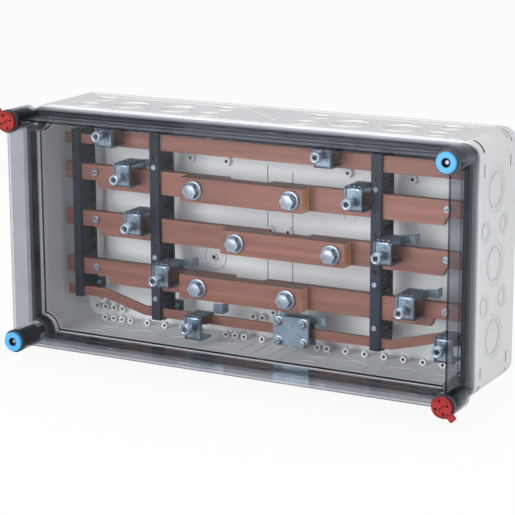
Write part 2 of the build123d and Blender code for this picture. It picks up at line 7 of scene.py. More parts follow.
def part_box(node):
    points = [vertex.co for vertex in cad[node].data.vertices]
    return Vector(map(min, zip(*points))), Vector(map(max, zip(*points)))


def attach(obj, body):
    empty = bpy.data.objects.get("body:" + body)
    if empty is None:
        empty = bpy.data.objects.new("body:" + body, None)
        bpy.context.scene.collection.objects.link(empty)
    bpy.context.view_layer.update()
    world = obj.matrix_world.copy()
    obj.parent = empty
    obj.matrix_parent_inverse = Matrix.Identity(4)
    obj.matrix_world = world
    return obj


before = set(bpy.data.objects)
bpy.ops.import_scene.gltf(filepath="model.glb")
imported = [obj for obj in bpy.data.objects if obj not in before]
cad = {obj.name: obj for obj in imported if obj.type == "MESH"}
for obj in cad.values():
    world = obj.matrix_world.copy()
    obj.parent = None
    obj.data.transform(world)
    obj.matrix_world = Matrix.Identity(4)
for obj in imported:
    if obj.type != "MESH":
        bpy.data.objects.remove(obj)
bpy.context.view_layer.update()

# Busbar distribution box. Metres, X to the right, Z up, front towards -Y, origin at the centre of the back.
# Sizes below are in millimetres, and a depth is counted from the back face towards the front.

scene = bpy.context.scene
scene.view_settings.view_transform = "Standard"
mm = 0.001

x_axis = Vector((1, 0, 0))
y_axis = Vector((0, 1, 0))
z_axis = Vector((0, 0, 1))
forward = Vector((0, -1, 0))


def size_of(node):
    """Low and high corner of a CAD node, in millimetres."""
    low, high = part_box(node)
    return Vector(low) / mm, Vector(high) / mm


def middle_of(node):
    """Centre of a CAD node, in millimetres."""
    low, high = size_of(node)
    return (low + high) / 2


def turned_by(angle):
    """Direction along a front face, turned by an angle from X towards Z."""
    return x_axis * math.cos(angle) + z_axis * math.sin(angle)


# Materials. The useful part of a noise lies between its low and its high value.
noise_low = 0.3
noise_middle = 0.5
noise_high = 0.7
white = (1.0, 1.0, 1.0)


def material(name):
    """New node material with an empty tree and its output."""
    made = bpy.data.materials.new(name)
    made.use_nodes = True
    tree = made.node_tree
    tree.nodes.clear()
    output = tree.nodes.new("ShaderNodeOutputMaterial")
    return made, tree, output


def object_coords(tree, scale=(1.0, 1.0, 1.0)):
    """Object coordinates scaled along each axis."""
    coords = tree.nodes.new("ShaderNodeTexCoord")
    mapping = tree.nodes.new("ShaderNodeMapping")
    mapping.inputs["Scale"].default_value = scale
    tree.links.new(coords.outputs["Object"], mapping.inputs["Vector"])
    return mapping.outputs["Vector"]


def noise(tree, vector, scale, detail, roughness=0.55):
    """Noise texture at a scale, as a factor."""
    made = tree.nodes.new("ShaderNodeTexNoise")
    made.inputs["Scale"].default_value = scale
    made.inputs["Detail"].default_value = detail
    made.inputs["Roughness"].default_value = roughness
    tree.links.new(vector, made.inputs["Vector"])
    return made.outputs["Fac"]


def ramp(tree, factor, stops):
    """Colour ramp through (position, colour) stops."""
    made = tree.nodes.new("ShaderNodeValToRGB")
    while len(made.color_ramp.elements) < len(stops):
        made.color_ramp.elements.new(0.5)
    for element, (position, colour) in zip(made.color_ramp.elements, stops):
        element.position = position
        element.color = (*colour, 1.0)
    tree.links.new(factor, made.inputs["Fac"])
    return made.outputs["Color"]


def spread(tree, factor, low, high):
    """Noise spread over a range."""
    made = tree.nodes.new("ShaderNodeMapRange")
    made.inputs["From Min"].default_value = noise_low
    made.inputs["From Max"].default_value = noise_high
    made.inputs["To Min"].default_value = low
    made.inputs["To Max"].default_value = high
    tree.links.new(factor, made.inputs["Value"])
    return made.outputs["Result"]


def bump(tree, factor, strength, distance):
    """Bump normal from a height."""
    made = tree.nodes.new("ShaderNodeBump")
    made.inputs["Strength"].default_value = strength
    made.inputs["Distance"].default_value = distance
    tree.links.new(factor, made.inputs["Height"])
    return made.outputs["Normal"]


def multiply(tree, first, second):
    """Product of two colours."""
    made = tree.nodes.new("ShaderNodeMix")
    made.data_type = "RGBA"
    made.blend_type = "MULTIPLY"
    made.inputs["Factor"].default_value = 1.0
    tree.links.new(first, made.inputs["A"])
    tree.links.new(second, made.inputs["B"])
    return made.outputs["Result"]


def maths(tree, operation, *values):
    """Result of a sum on values that are numbers or the outputs of other nodes."""
    made = tree.nodes.new("ShaderNodeMath")
    made.operation = operation
    for socket, value in zip(made.inputs, values):
        if isinstance(value, float):
            socket.default_value = value
        else:
            tree.links.new(value, socket)
    return made.outputs["Value"]


def mix_shaders(tree, share, first, second):
    """Mix of two shaders, with the share of the second."""
    made = tree.nodes.new("ShaderNodeMixShader")
    tree.links.new(share, made.inputs["Fac"])
    tree.links.new(first, made.inputs[1])
    tree.links.new(second, made.inputs[2])
    return made.outputs["Shader"]


def surface(name, colour, step, rough, grain, metallic=0.0, stretch=(1.0, 1.0, 1.0), cloud=18.0,
            relief=0.00008, specular=0.5):
    """Plastic or metal in clouded shades of a colour, with uneven roughness and a fine grain."""
    grain_strength = 0.5
    made, tree, output = material(name)
    shader = tree.nodes.new("ShaderNodeBsdfPrincipled")
    vector = object_coords(tree, stretch)
    clouds = noise(tree, vector, cloud, 5.0)
    fine = noise(tree, vector, grain, 6.0, 0.65)
    dark, middle, light = (tuple(min(1.0, part * (1 + k * step)) for part in colour) for k in (-1, 0, 1))
    stops = ((noise_low, dark), (noise_middle, middle), (noise_high, light))
    tree.links.new(ramp(tree, clouds, stops), shader.inputs["Base Color"])
    tree.links.new(spread(tree, fine, *rough), shader.inputs["Roughness"])
    tree.links.new(bump(tree, fine, grain_strength, relief), shader.inputs["Normal"])
    shader.inputs["Metallic"].default_value = metallic
    shader.inputs["Specular IOR Level"].default_value = specular
    tree.links.new(shader.outputs["BSDF"], output.inputs["Surface"])
    return made


def clear_plastic(name, facing, grazing, walls_painted_shade, edge_painted_shade, shine, grain):
    """Smoky clear plastic with a thin shine: light passes straight through, more darkly at a flat angle. The
    side walls and the rounded edges carry painted shade, a darker tint fixed to their faces that stands in
    for refraction and the slanted view through them."""
    flat_angle_from = 0.6
    cloud_tint = (0.985, 0.985, 0.985)
    shine_tint = (0.9, 0.93, 0.96, 1.0)
    shine_rough = (0.015, 0.04)
    grain_strength = 0.05
    relief = 0.0004
    mirror_steepness = 5.0
    most_mirrored = 0.6
    made, tree, output = material(name)
    clouds = noise(tree, object_coords(tree), grain, 3.0)
    weight = tree.nodes.new("ShaderNodeLayerWeight")
    weight.inputs["Blend"].default_value = 0.5
    flatness = weight.outputs["Facing"]
    tint = ramp(tree, flatness, ((0.0, facing), (flat_angle_from, facing), (1.0, grazing)))
    clouded = multiply(tree, tint, ramp(tree, clouds, ((noise_low, cloud_tint), (noise_high, white))))
    # how far a surface faces the front: 0 on the side walls, 1 on the front face, the edges between
    coords = tree.nodes.new("ShaderNodeTexCoord")
    parts = tree.nodes.new("ShaderNodeSeparateXYZ")
    tree.links.new(coords.outputs["Normal"], parts.inputs["Vector"])
    frontal = maths(tree, "ABSOLUTE", parts.outputs["Y"])
    # painted shade: a darker tint on the side walls, darker still on the rounded edges between them and the
    # front face
    painted_shade_zones = ramp(tree, frontal, ((0.0, walls_painted_shade), (0.12, walls_painted_shade), (0.3, edge_painted_shade), (0.9, edge_painted_shade),
                                 (0.985, white)))
    through = tree.nodes.new("ShaderNodeBsdfTransparent")
    tree.links.new(multiply(tree, clouded, painted_shade_zones), through.inputs["Color"])
    gloss = tree.nodes.new("ShaderNodeBsdfGlossy")
    gloss.inputs["Color"].default_value = shine_tint
    tree.links.new(spread(tree, clouds, *shine_rough), gloss.inputs["Roughness"])
    tree.links.new(bump(tree, clouds, grain_strength, relief), gloss.inputs["Normal"])
    # share of light that is mirrored: a little straight on, and most of it at a flat angle
    steep = maths(tree, "POWER", flatness, mirror_steepness)
    share = maths(tree, "MULTIPLY_ADD", steep, most_mirrored, shine)
    both = mix_shaders(tree, share, through.outputs["BSDF"], gloss.outputs["BSDF"])
    tree.links.new(both, output.inputs["Surface"])
    return made


# Plastics
base_grey = surface("base_grey", (0.70, 0.705, 0.70), 0.025, rough=(0.42, 0.58), grain=900.0)
seal_black = surface("seal_black", (0.016, 0.016, 0.018), 0.3, rough=(0.6, 0.85), grain=500.0, relief=0.0003)
bolt_black = surface("bolt_black", (0.02, 0.022, 0.026), 0.2, rough=(0.25, 0.4), grain=700.0)
ring_blue = surface("ring_blue", (0.055, 0.30, 0.55), 0.06, rough=(0.35, 0.5), grain=800.0, specular=0.35)
cap_red = surface("cap_red", (0.27, 0.017, 0.015), 0.1, rough=(0.4, 0.55), grain=800.0, specular=0.2)
# darker red of the cap marks: painted shade along the moulded marks
cap_shade = surface("cap_shade", (0.11, 0.008, 0.008), 0.15, rough=(0.45, 0.6), grain=800.0, specular=0.2)
slate = surface("support_slate", (0.008, 0.014, 0.025), 0.3, rough=(0.42, 0.6), grain=700.0, specular=0.25)
# Near-black flat marks: painted shade in slots, holes, dots and sockets, and the dark seams of the back wall
dark_gap = surface("dark_gap", (0.012, 0.013, 0.016), 0.3, rough=(0.7, 0.9), grain=400.0)

# Metals
steel = surface("screw_steel", (0.27, 0.32, 0.37), 0.2, rough=(0.22, 0.40), grain=420.0, metallic=0.85,
                cloud=60.0)
zinc = surface("clamp_zinc", (0.19, 0.24, 0.29), 0.22, rough=(0.22, 0.42), grain=380.0, metallic=0.85,
               cloud=45.0)
clamp_dark = surface("clamp_dark", (0.055, 0.072, 0.09), 0.3, rough=(0.25, 0.45), grain=380.0, metallic=0.8,
                     cloud=45.0)
copper = surface("bar_copper", (0.190, 0.076, 0.056), 0.26, rough=(0.34, 0.52), grain=240.0, metallic=0.35,
                 stretch=(0.2, 1.0, 6.0), cloud=22.0)
link_copper = surface("link_copper", (0.195, 0.078, 0.054), 0.28, rough=(0.30, 0.48), grain=240.0,
                      metallic=0.4, stretch=(0.2, 1.0, 6.0), cloud=26.0)
# bright copper of the cut sheet ends: bare metal, brightened further by a painted highlight
cut_copper = surface("cut_copper", (1.0, 0.52, 0.30), 0.25, rough=(0.3, 0.45), grain=600.0, metallic=0.2,
                     stretch=(1.0, 0.2, 1.0), cloud=80.0)

# Lid: clear faces, and rounded edges in painted shade, a dark tint that stands in for refraction along them
lid_clear = clear_plastic("lid_clear", facing=(0.968, 0.975, 0.985), grazing=(0.50, 0.52, 0.56),
                          walls_painted_shade=(0.68, 0.69, 0.71), edge_painted_shade=(0.30, 0.31, 0.34), shine=0.011, grain=6.0)
lid_edge = clear_plastic("lid_edge", facing=(0.30, 0.31, 0.34), grazing=(0.06, 0.065, 0.07),
                         walls_painted_shade=white, edge_painted_shade=white, shine=0.05, grain=40.0)

finish_of = {
    "base_box": base_grey, "base_posts": base_grey, "lid": lid_clear, "lid_gasket": seal_black,
    "support_screws": steel, "link_bolts": steel, "link_nuts": steel, "tap_screws": steel,
    "clamp_frames": zinc, "clamp_saddles": link_copper, "pe_clamp_plate": zinc, "pe_clamp_base": zinc,
    "pe_clamp_screws": steel, "n_bar": copper, "pe_bar": copper,
}
family_of = (
    ("lid_bolt_", bolt_black), ("bolt_ring_", ring_blue), ("seal_cap_", cap_red), ("support_", slate),
    ("keeper_", slate), ("clamp_jaw_", zinc), ("clamp_screw_", steel),
)


def finish_for(name):
    """Material of a CAD node, by its name or by its family."""
    if name in finish_of:
        return finish_of[name]
    if name.endswith("_link_bars"):
        return link_copper
    if "_bar_" in name:
        return copper
    return next(finish for start, finish in family_of if name.startswith(start))


def soften(obj, width, material_index=-1):
    """Joins a node's faces and rounds its sharp edges a little."""
    weld_gap = 0.01
    flat_angle = 1.0
    sharp_angle = 32.0
    weld = obj.modifiers.new("join", "WELD")
    weld.merge_threshold = weld_gap * mm
    flat = obj.modifiers.new("flat", "DECIMATE")
    flat.decimate_type = "DISSOLVE"
    flat.angle_limit = math.radians(flat_angle)
    bevel = obj.modifiers.new("edges", "BEVEL")
    bevel.width = width * mm
    bevel.segments = 2
    bevel.limit_method = "ANGLE"
    bevel.angle_limit = math.radians(sharp_angle)
    bevel.use_clamp_overlap = True
    bevel.material = material_index


edge_width = {
    "base_box": 0.7, "lid": 0.9, "lid_gasket": 0.4, "support_screws": 0.3, "link_bolts": 0.7,
    "link_nuts": 0.5, "tap_screws": 0.4, "clamp_frames": 0.6, "clamp_saddles": 0.4,
    "pe_clamp_plate": 0.6, "pe_clamp_base": 0.4, "pe_clamp_screws": 0.6,
}
usual_edge_width = 0.5
for name, obj in cad.items():
    obj.data.materials.clear()
    obj.data.materials.append(finish_for(name))
    if name == "lid":
        # the lid's rounded edges take the second material, which is painted shade
        obj.data.materials.append(lid_edge)
        soften(obj, edge_width[name], material_index=1)
    else:
        soften(obj, edge_width.get(name, usual_edge_width))


# Mesh forms
class Form:
    """Collects vertices and faces of a piece, in millimetres."""

    def __init__(self):
        self.points = []
        self.faces = []

    def sweep(self, rails, profile, closed=False):
        """Carries a profile of (side, height) points along rails of (place, side, normal)."""
        first = len(self.points)
        count = len(profile)
        for place, side, normal in rails:
            for across, height in profile:
                self.points.append(place + side * across + normal * height)
        steps = len(rails)
        for i in range(steps if closed else steps - 1):
            here = first + i * count
            there = first + ((i + 1) % steps) * count
            for k in range(count):
                nxt = (k + 1) % count
                self.faces.append((here + k, here + nxt, there + nxt, there + k))
        if not closed:
            self.faces.append(tuple(range(first + count - 1, first - 1, -1)))
            last = first + (steps - 1) * count
            self.faces.append(tuple(range(last, last + count)))

    def bar(self, middle, along, half_length, profile):
        """Straight strip on a front face, centred on a place."""
        side = along.cross(forward)
        ends = (middle - along * half_length, middle + along * half_length)
        self.sweep([(end, side, forward) for end in ends], profile)

    def turned(self, centre, axis, profile, segments=32, start=0.0):
        """Revolves a profile of (radius, height) points about an axis through a centre."""
        across = axis.orthogonal().normalized()
        other = axis.cross(across)
        rings = []
        for radius, height in profile:
            if radius == 0.0:
                rings.append([len(self.points)])
                self.points.append(centre + axis * height)
                continue
            ring = []
            for k in range(segments):
                angle = start + 2 * math.pi * k / segments
                ring.append(len(self.points))
                self.points.append(centre + axis * height
                                   + (across * math.cos(angle) + other * math.sin(angle)) * radius)
            rings.append(ring)
        for lower, upper in zip(rings, rings[1:]):
            for k in range(segments):
                nxt = (k + 1) % segments
                if len(lower) == 1:
                    self.faces.append((lower[0], upper[nxt], upper[k]))
                elif len(upper) == 1:
                    self.faces.append((lower[k], lower[nxt], upper[0]))
                else:
                    self.faces.append((lower[k], lower[nxt], upper[nxt], upper[k]))

    def block(self, x_range, z_range, back, front):
        """Straight block between two depths."""
        (left, right), (bottom, top) = x_range, z_range
        first = len(self.points)
        for depth in (back, front):
            for x, z in ((left, bottom), (right, bottom), (right, top), (left, top)):
                self.points.append(Vector((x, -depth, z)))
        self.faces += [(first + 3, first + 2, first + 1, first), (first + 4, first + 5, first + 6, first + 7)]
        for k in range(4):
            nxt = (k + 1) % 4
            self.faces.append((first + k, first + nxt, first + 4 + nxt, first + 4 + k))


def make(name, form, finish, body, bevel=0.0):
    """Object of a form, in place, with its finish, riding on its body."""
    sharp_angle = math.radians(38.0)
    mesh = bpy.data.meshes.new(name)
    mesh.from_pydata([tuple(point * mm) for point in form.points], [], form.faces)
    shell = bmesh.new()
    shell.from_mesh(mesh)
    bmesh.ops.recalc_face_normals(shell, faces=shell.faces)
    shell.to_mesh(mesh)
    shell.free()
    mesh.shade_smooth()
    mesh.set_sharp_from_angle(angle=sharp_angle)
    mesh.materials.append(finish)
    obj = bpy.data.objects.new(name, mesh)
    scene.collection.objects.link(obj)
    if bevel:
        edges = obj.modifiers.new("edges", "BEVEL")
        edges.width = bevel * mm
        edges.segments = 2
        edges.limit_method = "ANGLE"
        edges.angle_limit = sharp_angle
    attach(obj, body)
    return obj


# A raised profile starts a little below the surface that it stands on
sunk = 0.3


def ridge_profile(width, height):
    """Rounded low ridge."""
    half = width / 2
    foot = 0.2 * height
    shoulder = 0.85 * height
    return ((-half, -sunk), (-half, foot), (-0.6 * half, shoulder), (0.0, height), (0.6 * half, shoulder),
            (half, foot), (half, -sunk))


def flat_profile(width, height):
    """Low flat strip."""
    half = width / 2
    return ((-half, -sunk), (-half, height), (half, height), (half, -sunk))


# Walls of the base: a place at depth 0, the direction along the wall, and its normal
wall_thickness = 4.0
corner_radius = 18.0
half_width = size_of("base_box")[1].x
half_height = size_of("base_box")[1].z
walls = {
    "right": (x_axis * half_width, z_axis, x_axis),
    "left": (-x_axis * half_width, z_axis, -x_axis),
    "top": (z_axis * half_height, x_axis, z_axis),
    "bottom": (-z_axis * half_height, x_axis, -z_axis),
    "floor": (-z_axis * (half_height - wall_thickness), x_axis, z_axis),
    "ceiling": (z_axis * (half_height - wall_thickness), x_axis, -z_axis),
}


def on_wall(wall, along, depth):
    """Place on a wall."""
    start, direction, _ = walls[wall]
    return start + direction * along + forward * depth


def wall_arc(form, wall, along, depth, radius, width, height, start=0.0, end=360.0):
    """Round ridge on a wall, whole or in part; angle 0 points along the wall and 90 to the front."""
    circle = 360.0
    circle_steps = 64
    fewest_steps = 6
    _, direction, normal = walls[wall]
    whole = end - start >= circle
    steps = max(fewest_steps, int((end - start) / circle * circle_steps))
    centre = on_wall(wall, along, depth)
    rails = []
    for k in range(steps if whole else steps + 1):
        angle = math.radians(start + (end - start) * k / steps)
        out = direction * math.cos(angle) + forward * math.sin(angle)
        rails.append((centre + out * radius, out, normal))
    form.sweep(rails, ridge_profile(width, height), closed=whole)


def wall_line(form, wall, first, last, profile):
    """Straight strip on a wall between two (along, depth) places."""
    normal = walls[wall][2]
    ends = (on_wall(wall, *first), on_wall(wall, *last))
    side = (ends[1] - ends[0]).normalized().cross(normal)
    form.sweep([(end, side, normal) for end in ends], profile)


# Side walls: three large knockouts, small ones between them to the front and the back, and one at each end
side_large = (-87.3, 0.0, 87.3)
side_large_depth = 65.5
side_small = (-43.6, 43.6)
side_small_front_depth = 96.0
side_small_back_depth = 41.0
side_end = (-115.0, 115.0)
side_end_depth = 36.0
side_back_line = (124.0, 12.0)
side_front_line = (128.0, 113.5)
side_line_height = 0.8
side_slots = (-121.5, 115.0)
side_slot_depths = (103.5, 23.0)
side_slot_half_length = 7.0
for wall in ("right", "left"):
    rings = Form()
    for along in side_large:
        wall_arc(rings, wall, along, side_large_depth, radius=26.9, width=1.5, height=0.7)
        wall_arc(rings, wall, along, side_large_depth, radius=20.4, width=1.3, height=0.45)
        wall_arc(rings, wall, along, side_large_depth, radius=32.2, width=1.2, height=0.5,
                 start=38.0, end=142.0)
    for along in side_small:
        wall_arc(rings, wall, along, side_small_front_depth, radius=15.2, width=1.4, height=0.6,
                 start=-160.0, end=-20.0)
        wall_arc(rings, wall, along, side_small_front_depth, radius=9.6, width=1.3, height=0.4)
        wall_arc(rings, wall, along, side_small_back_depth, radius=13.6, width=1.4, height=0.6)
        wall_arc(rings, wall, along, side_small_back_depth, radius=8.8, width=1.2, height=0.4)
    for along in side_end:
        wall_arc(rings, wall, along, side_end_depth, radius=12.0, width=1.3, height=0.6,
                 start=-20.0, end=200.0)
    for (reach, depth), width in ((side_back_line, 3.2), (side_front_line, 2.2)):
        wall_line(rings, wall, (-reach, depth), (reach, depth), ridge_profile(width, side_line_height))
    make(f"wall_rings_{wall}", rings, base_grey, "base")
    # Slots on the side walls: near-black flat strips of painted shade
    slots = Form()
    for along in side_slots:
        for depth in side_slot_depths:
            ends = ((along + reach, depth) for reach in (-side_slot_half_length, side_slot_half_length))
            wall_line(slots, wall, *ends, flat_profile(width=1.7, height=0.08))
    make(f"wall_slots_{wall}", slots, dark_gap, "base")

# Top and bottom walls: two bays, each with two large knockouts and four small ones, and ribs between the bays
bays = (-half_width / 2, half_width / 2)
bay_large = 33.0
bay_large_depth = 71.0
bay_small = 85.0
bay_small_depths = (88.0, 42.0)
bay_small_radius = 14.1
bay_end = 108.0
bay_end_depths = (20.0, 104.0)
bay_line = (112.0, 26.0)
long_lines = ((11.0, 3.4, 0.9), (113.5, 2.2, 0.8))
long_line_reach = 276.0
middle_ribs = (-31.0, -12.0, 12.0, 31.0)
middle_rib_depths = (20.0, 106.0)
cross_line = ((-31.0, 36.0), (31.0, 92.0))
dot_places = (-60.0, -56.0, 0.0, 4.0, 60.0, 64.0)
dot_depth = 84.0
dot_profile = ((0.0, 0.08), (1.0, 0.08), (1.0, -sunk))
for wall in ("top", "bottom"):
    rings = Form()
    for bay in bays:
        for side in (-1.0, 1.0):
            large = bay + side * bay_large
            small = bay + side * bay_small
            end = bay + side * bay_end
            wall_arc(rings, wall, large, bay_large_depth, radius=23.1, width=1.5, height=0.7)
            wall_arc(rings, wall, large, bay_large_depth, radius=16.6, width=1.3, height=0.45)
            for depth in bay_small_depths:
                wall_arc(rings, wall, small, depth, radius=bay_small_radius, width=1.4, height=0.6)
                wall_arc(rings, wall, small, depth, radius=9.0, width=1.2, height=0.4)
            wall_line(rings, wall, *((end, depth) for depth in bay_end_depths),
                      ridge_profile(width=1.6, height=0.6))
        reach, depth = bay_line
        wall_line(rings, wall, (bay - reach, depth), (bay + reach, depth),
                  ridge_profile(width=1.8, height=0.6))
    for depth, width, height in long_lines:
        wall_line(rings, wall, (-long_line_reach, depth), (long_line_reach, depth),
                  ridge_profile(width, height))
    for along in middle_ribs:
        wall_line(rings, wall, *((along, depth) for depth in middle_rib_depths),
                  ridge_profile(width=2.0, height=0.8))
    wall_line(rings, wall, *cross_line, ridge_profile(width=1.6, height=0.6))
    make(f"wall_rings_{wall}", rings, base_grey, "base")
    # Small holes on the top and bottom walls: near-black dots of painted shade
    dots = Form()
    for bay in bays:
        for along in dot_places:
            dots.turned(on_wall(wall, bay + along, dot_depth), walls[wall][2], dot_profile, segments=12)
    make(f"wall_dots_{wall}", dots, dark_gap, "base")


def corner_slot(form, side_x, side_z, depth, width, start, end):
    """Slot that bends round an edge between a side wall and the top or bottom wall, as a near-black strip of
    painted shade.
    """
    steps = 10
    centre = Vector((side_x * (half_width - corner_radius), -depth, side_z * (half_height - corner_radius)))
    rails = []
    for k in range(steps + 1):
        angle = math.radians(start + (end - start) * k / steps)
        out = Vector((side_x * math.cos(angle), 0, side_z * math.sin(angle)))
        rails.append((centre + out * corner_radius, forward, out))
    form.sweep(rails, flat_profile(width, height=0.1))


# Curved slots round the four long edges, as strips of painted shade
corner_slots = Form()
for side_x in (-1.0, 1.0):
    for side_z in (-1.0, 1.0):
        corner_slot(corner_slots, side_x, side_z, depth=105.0, width=3.6, start=14.0, end=78.0)
        corner_slot(corner_slots, side_x, side_z, depth=20.0, width=1.6, start=14.0, end=76.0)
        corner_slot(corner_slots, side_x, side_z, depth=29.0, width=1.0, start=30.0, end=62.0)
make("corner_slots", corner_slots, dark_gap, "base")

# Eyelets: a row along the floor, and two groups on the back wall
back_face = wall_thickness - 0.1
eyelet_bore = 2.1
eyelet_radius = 4.3
eyelet_lip = 0.5
eyelet_chamfer = 0.4
eyelet_hollow = 2.5
eyelet_hole = ((0.0, 0.0), (eyelet_bore, 0.0), (eyelet_bore, -0.3))
eyelet_pitch = 12.92
eyelet_first = -255.6
eyelet_row_z = -141.8
eyelet_row_depths = (24.0, 30.0)
eyelet_slots = (0, 1, 2, 3, 5, 7, 9, 11, 14, 15, 16, 18, 20, 22, 24, 25, 27, 29, 31, 33, 35, 37, 39)
wall_eyelets = (
    (-277.9, -132.4), (-265.0, -132.4), (-252.0, -132.4), (-239.1, -132.4),
    (-43.9, -118.7), (-31.0, -118.6), (-15.3, -110.0), (-3.6, -108.6),
)
wall_eyelet_front = 14.0
eyelets = Form()
holes = Form()


def eyelet(x, z, back, front):
    """Round eyelet between two depths, with a near-black disc of painted shade down its hole."""
    length = front - back
    lip = length - eyelet_lip
    profile = ((eyelet_bore, 0.0), (eyelet_radius, 0.0), (eyelet_radius, lip),
               (eyelet_radius - eyelet_chamfer, length), (eyelet_bore + eyelet_chamfer, length),
               (eyelet_bore, lip), (eyelet_bore, 0.0))
    eyelets.turned(Vector((x, -back, z)), forward, profile, segments=20)
    holes.turned(Vector((x, eyelet_hollow - front, z)), forward, eyelet_hole, segments=16)


for k in eyelet_slots:
    eyelet(eyelet_first + k * eyelet_pitch, eyelet_row_z, *eyelet_row_depths)
for x, z in wall_eyelets:
    eyelet(x, z, back_face, wall_eyelet_front)
make("back_eyelets", eyelets, base_grey, "base")


def back_ring(form, x, z, outer, inner, height):
    """Upright ring on the inside of the back wall."""
    shoulder = 0.8 * height
    form.turned(Vector((x, -back_face, z)), forward,
                ((inner, 0.0), (outer, 0.0), (outer, shoulder), ((outer + inner) / 2, height),
                 (inner, shoulder), (inner, 0.0)), segments=28)


# Back wall: a round knockout with its boss, small rings, two seams, and the holes of the bosses, with
# near-black discs of painted shade in the holes
knockout_x = -103.3
knockout_z = -49.0
small_ring_x = (-82.0, 86.0, 168.0)
small_ring_z = 22.0
knockout = Form()
back_ring(knockout, knockout_x, knockout_z, outer=16.2, inner=14.4, height=2.0)
back_ring(knockout, knockout_x, knockout_z, outer=4.6, inner=2.6, height=5.0)
for x in small_ring_x:
    back_ring(knockout, x, small_ring_z, outer=7.8, inner=6.4, height=1.2)
make("back_knockout", knockout, base_grey, "base")

seam_half_width = 0.5
seam_front = 4.12
seam_places = ((-27.5, (-84.0, 76.0)), (7.6, (-84.0, 70.0)))
seams = Form()
for x, z_range in seam_places:
    seams.block((x - seam_half_width, x + seam_half_width), z_range, back_face, seam_front)
make("back_seams", seams, dark_gap, "base")

boss_front = 9.8
boss_row_z = 77.4
boss_row_x = (-135.4, -83.5, 85.0, 171.0)
middle_boss_z = -5.0
middle_boss_x = (-22.4, 3.7)
boss_hole = ((0.0, 0.35), (1.9, 0.35), (1.9, 0.0))
for x, z in [(x, boss_row_z) for x in boss_row_x] + [(x, middle_boss_z) for x in middle_boss_x]:
    holes.turned(Vector((x, -boss_front, z)), forward, boss_hole, segments=16)
knockout_hole_depth = 6.5
knockout_hole = ((0.0, 0.0), (2.7, 0.0), (2.7, -0.4))
holes.turned(Vector((knockout_x, -knockout_hole_depth, knockout_z)), forward, knockout_hole, segments=16)
# Holes of the eyelets, the bosses and the knockout's boss: near-black discs of painted shade
make("eyelet_holes", holes, dark_gap, "base")

# Painted shade on the rim of the base, which the seal and the lid's channel shade: a thin dark smoky strip
# where the lid's inner lip stands on the rim, straight along the walls, and round the barrels in the corners
joint_gap = 0.3
seal_width = 5.0
barrel_radius = 14.0
shade_strip_width = 2.5
shade_strip_height = 0.24
shade_strip_gap = 0.03
shade_strip_steps = 12
shade_strip_inset = seal_width + joint_gap + shade_strip_width / 2
shade_strip_reach = barrel_radius + joint_gap + shade_strip_inset
rim_depth = -size_of("lid")[1].y - joint_gap + shade_strip_gap
shade_strip_x = size_of("lid_gasket")[1].x - shade_strip_inset
shade_strip_z = size_of("lid_gasket")[1].z - shade_strip_inset


def shade_strip_arc(corner):
    """Rails round one barrel, from the side wall's stretch to that of the top or bottom wall."""
    bolt = middle_of(f"lid_bolt_{corner}")
    side_x = math.copysign(1.0, bolt.x)
    side_z = math.copysign(1.0, bolt.z)
    past_x = shade_strip_x - abs(bolt.x)
    past_z = shade_strip_z - abs(bolt.z)
    first = math.atan2(-math.sqrt(shade_strip_reach ** 2 - past_x ** 2), past_x)
    last = math.atan2(past_z, -math.sqrt(shade_strip_reach ** 2 - past_z ** 2))
    arc = []
    for k in range(shade_strip_steps + 1):
        angle = first + (last - first) * k / shade_strip_steps
        away = Vector((side_x * math.cos(angle), 0.0, side_z * math.sin(angle)))
        side = -away
        if k == 0:
            side += x_axis * side_x
        if k == shade_strip_steps:
            side += z_axis * side_z
        arc.append((Vector((bolt.x, -rim_depth, bolt.z)) + away * shade_strip_reach, side, forward))
    return arc


shade_strip_rails = []
for corner in ("top_right", "top_left", "bottom_left", "bottom_right"):
    arc = shade_strip_arc(corner)
    if corner in ("top_left", "bottom_right"):
        arc.reverse()
    shade_strip_rails += arc
# the dark strip of painted shade under the lid's inner lip
foot = Form()
half = shade_strip_width / 2
foot.sweep(shade_strip_rails, ((-half, 0.0), (-half, shade_strip_height), (half, shade_strip_height), (half, 0.0)), closed=True)
make("lid_lip_foot", foot, lid_edge, "lid")

# Inner side of the top and bottom walls: the rings of the knockouts and the ribs between the bays
inner_rib_depths = (34.0, 108.0)
for wall in ("floor", "ceiling"):
    inner_rings = Form()
    for bay in bays:
        for side in (-1.0, 1.0):
            wall_arc(inner_rings, wall, bay + side * bay_large, bay_large_depth, radius=23.1, width=1.3,
                     height=0.5)
            for depth in bay_small_depths:
                wall_arc(inner_rings, wall, bay + side * bay_small, depth, radius=bay_small_radius, width=1.2,
                         height=0.5)
    for along in middle_ribs:
        wall_line(inner_rings, wall, *((along, depth) for depth in inner_rib_depths),
                  ridge_profile(width=2.2, height=1.0))
    make(f"inner_rings_{wall}", inner_rings, base_grey, "base")

# Clamps. Each frame has three beads on its top and two on its front, a pressed mark above the collar, and
# painted shade in the troughs between the beads. The frame's sheet passes the jaw at a small gap.
sheet = 3.0
frame_gap = 0.4
frame_front = 95.0
top_beads = (-6.6, 0.0, 6.6)
top_bead_depths = (66.0, 70.0, 90.0, 92.5)
front_beads = (-10.0, 10.0)
front_bead_ends = (0.8, 1.6)
mark_half_width = 3.0
mark_drop = (8.5, 3.6)
mark_sunk = 0.3
mark_proud = 0.8
top_trough_shades = (-3.3, 3.3)
top_trough_shade_depths = (67.0, 91.0)
front_trough_shades = (-8.2, 8.2)
front_trough_shade_ends = (1.5, 2.0)
rim_profile = ((4.5, -0.4), (4.5, 0.3), (4.9, 0.5), (6.0, 0.5), (6.4, 0.2), (6.4, -0.4))
grip_count = 3
grip_first = 1.6
grip_pitch = 1.8
grip_profile = ((6.5, -0.4), (6.85, -0.25), (6.85, 0.25), (6.5, 0.4))
socket_drop = 4.3
socket_profile = ((0.0, 0.0), (2.95, 0.0), (2.95, -0.2))


